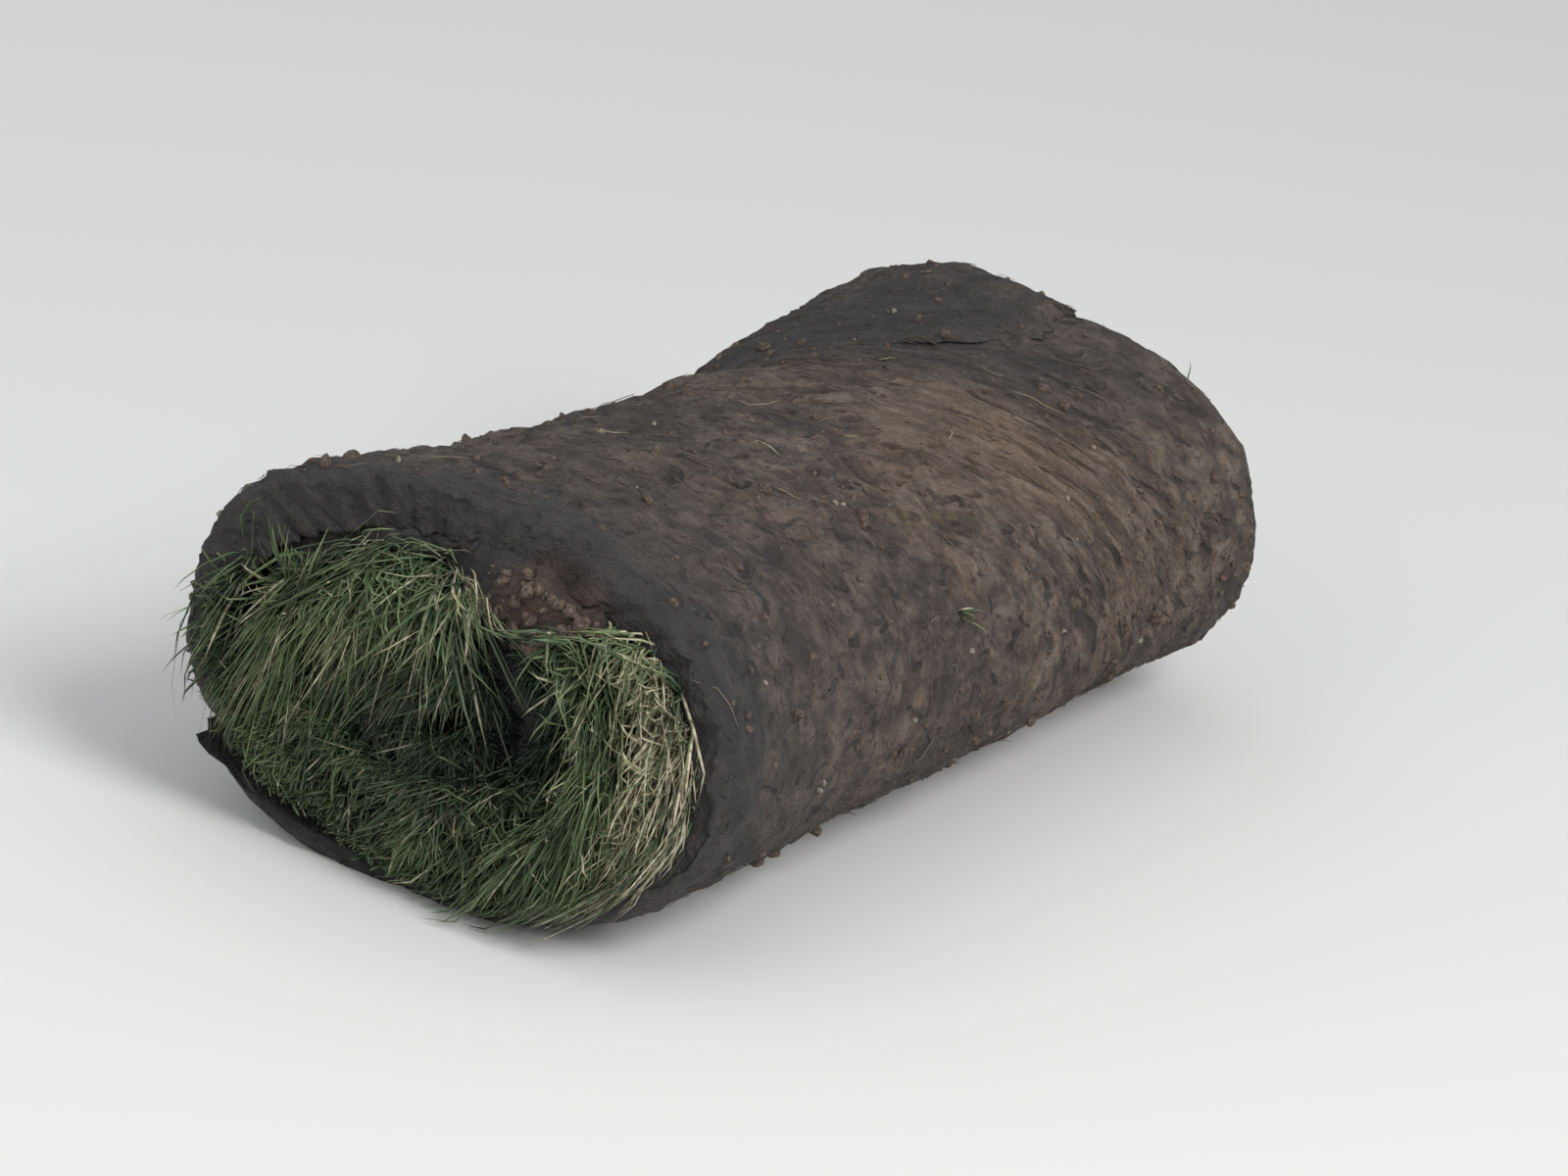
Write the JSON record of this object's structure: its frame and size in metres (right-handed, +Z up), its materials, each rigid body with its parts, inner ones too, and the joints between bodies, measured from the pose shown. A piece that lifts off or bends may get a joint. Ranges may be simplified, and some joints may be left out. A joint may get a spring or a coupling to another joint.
{
  "type": "roll of turf",
  "caption": "Strip of turf wound soil side out into an oval roll that lies on its side, with grass standing out of its spiral ends and its free end lying aslant over the top.",
  "frame": {"origin": "on the ground under the middle of the roll's bounding box", "axes": "+Y along the roll towards the end where the free end lies over the top, +X to the right seen along +Y, +Z up"},
  "size_m": [0.2992, 0.65, 0.1906],
  "materials": {
    "soil": "damp matt soil bound by roots",
    "grass": "soft satin grass blades with dry straw among them"
  },
  "bodies": {
    "root": {"turf_roll": "soil"}
  },
  "joints": []
}
